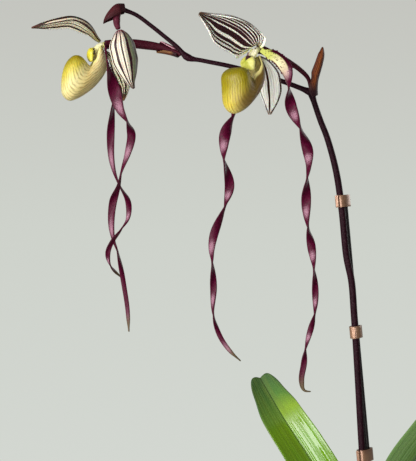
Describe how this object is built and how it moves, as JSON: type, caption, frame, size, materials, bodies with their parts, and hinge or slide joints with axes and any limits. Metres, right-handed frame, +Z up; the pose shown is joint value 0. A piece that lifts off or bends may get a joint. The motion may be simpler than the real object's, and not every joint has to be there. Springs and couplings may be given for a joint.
{
  "type": "potted paphiopedilum philippinense",
  "caption": "Slipper orchid in a plain clay pot: strap leaves, and a leaning dark stem, clipped to a thin stake, with striped flowers, yellow pouches, long twisted petals and a hanging bud.",
  "frame": {"origin": "centre of the underside of the pot, which stands on it", "axes": "+Z up; -Y is the front, which both open flowers are seen from; the flower stem leans to -X"},
  "size_m": [0.3253, 0.1829, 0.4462],
  "materials": {
    "terracotta": "matte",
    "bark_mix": "matte",
    "rhizome": "matte",
    "leaf": "satin",
    "stem": "satin",
    "stake": "satin",
    "clip": "satin",
    "petal": "satin",
    "sepal": "satin",
    "lip": "satin",
    "column": "satin",
    "bract": "matte"
  },
  "bodies": {
    "root": {"pot": "terracotta", "potting_mix": "bark_mix", "crown": "rhizome", "flower_stem": "stem", "stake": "stake", "bud": "sepal", "bud_stalk": "stem", "left_dorsal_sepal": "sepal", "left_synsepal": "sepal", "left_lip": "lip", "left_column": "column", "right_dorsal_sepal": "sepal", "right_synsepal": "sepal", "right_lip": "lip", "right_column": "column", "leaf_left_1": "leaf", "leaf_left_2": "leaf", "leaf_left_3": "leaf", "leaf_right_1": "leaf", "leaf_right_2": "leaf", "leaf_right_3": "leaf", "clip_1": "clip", "clip_2": "clip", "clip_3": "clip", "left_petal_near": "petal", "left_petal_far": "petal", "right_petal_near": "petal", "right_petal_far": "petal", "left_ovary": "stem", "right_ovary": "stem", "bract_left": "bract", "bract_upright": "bract", "bract_end": "bract"}
  },
  "joints": []
}
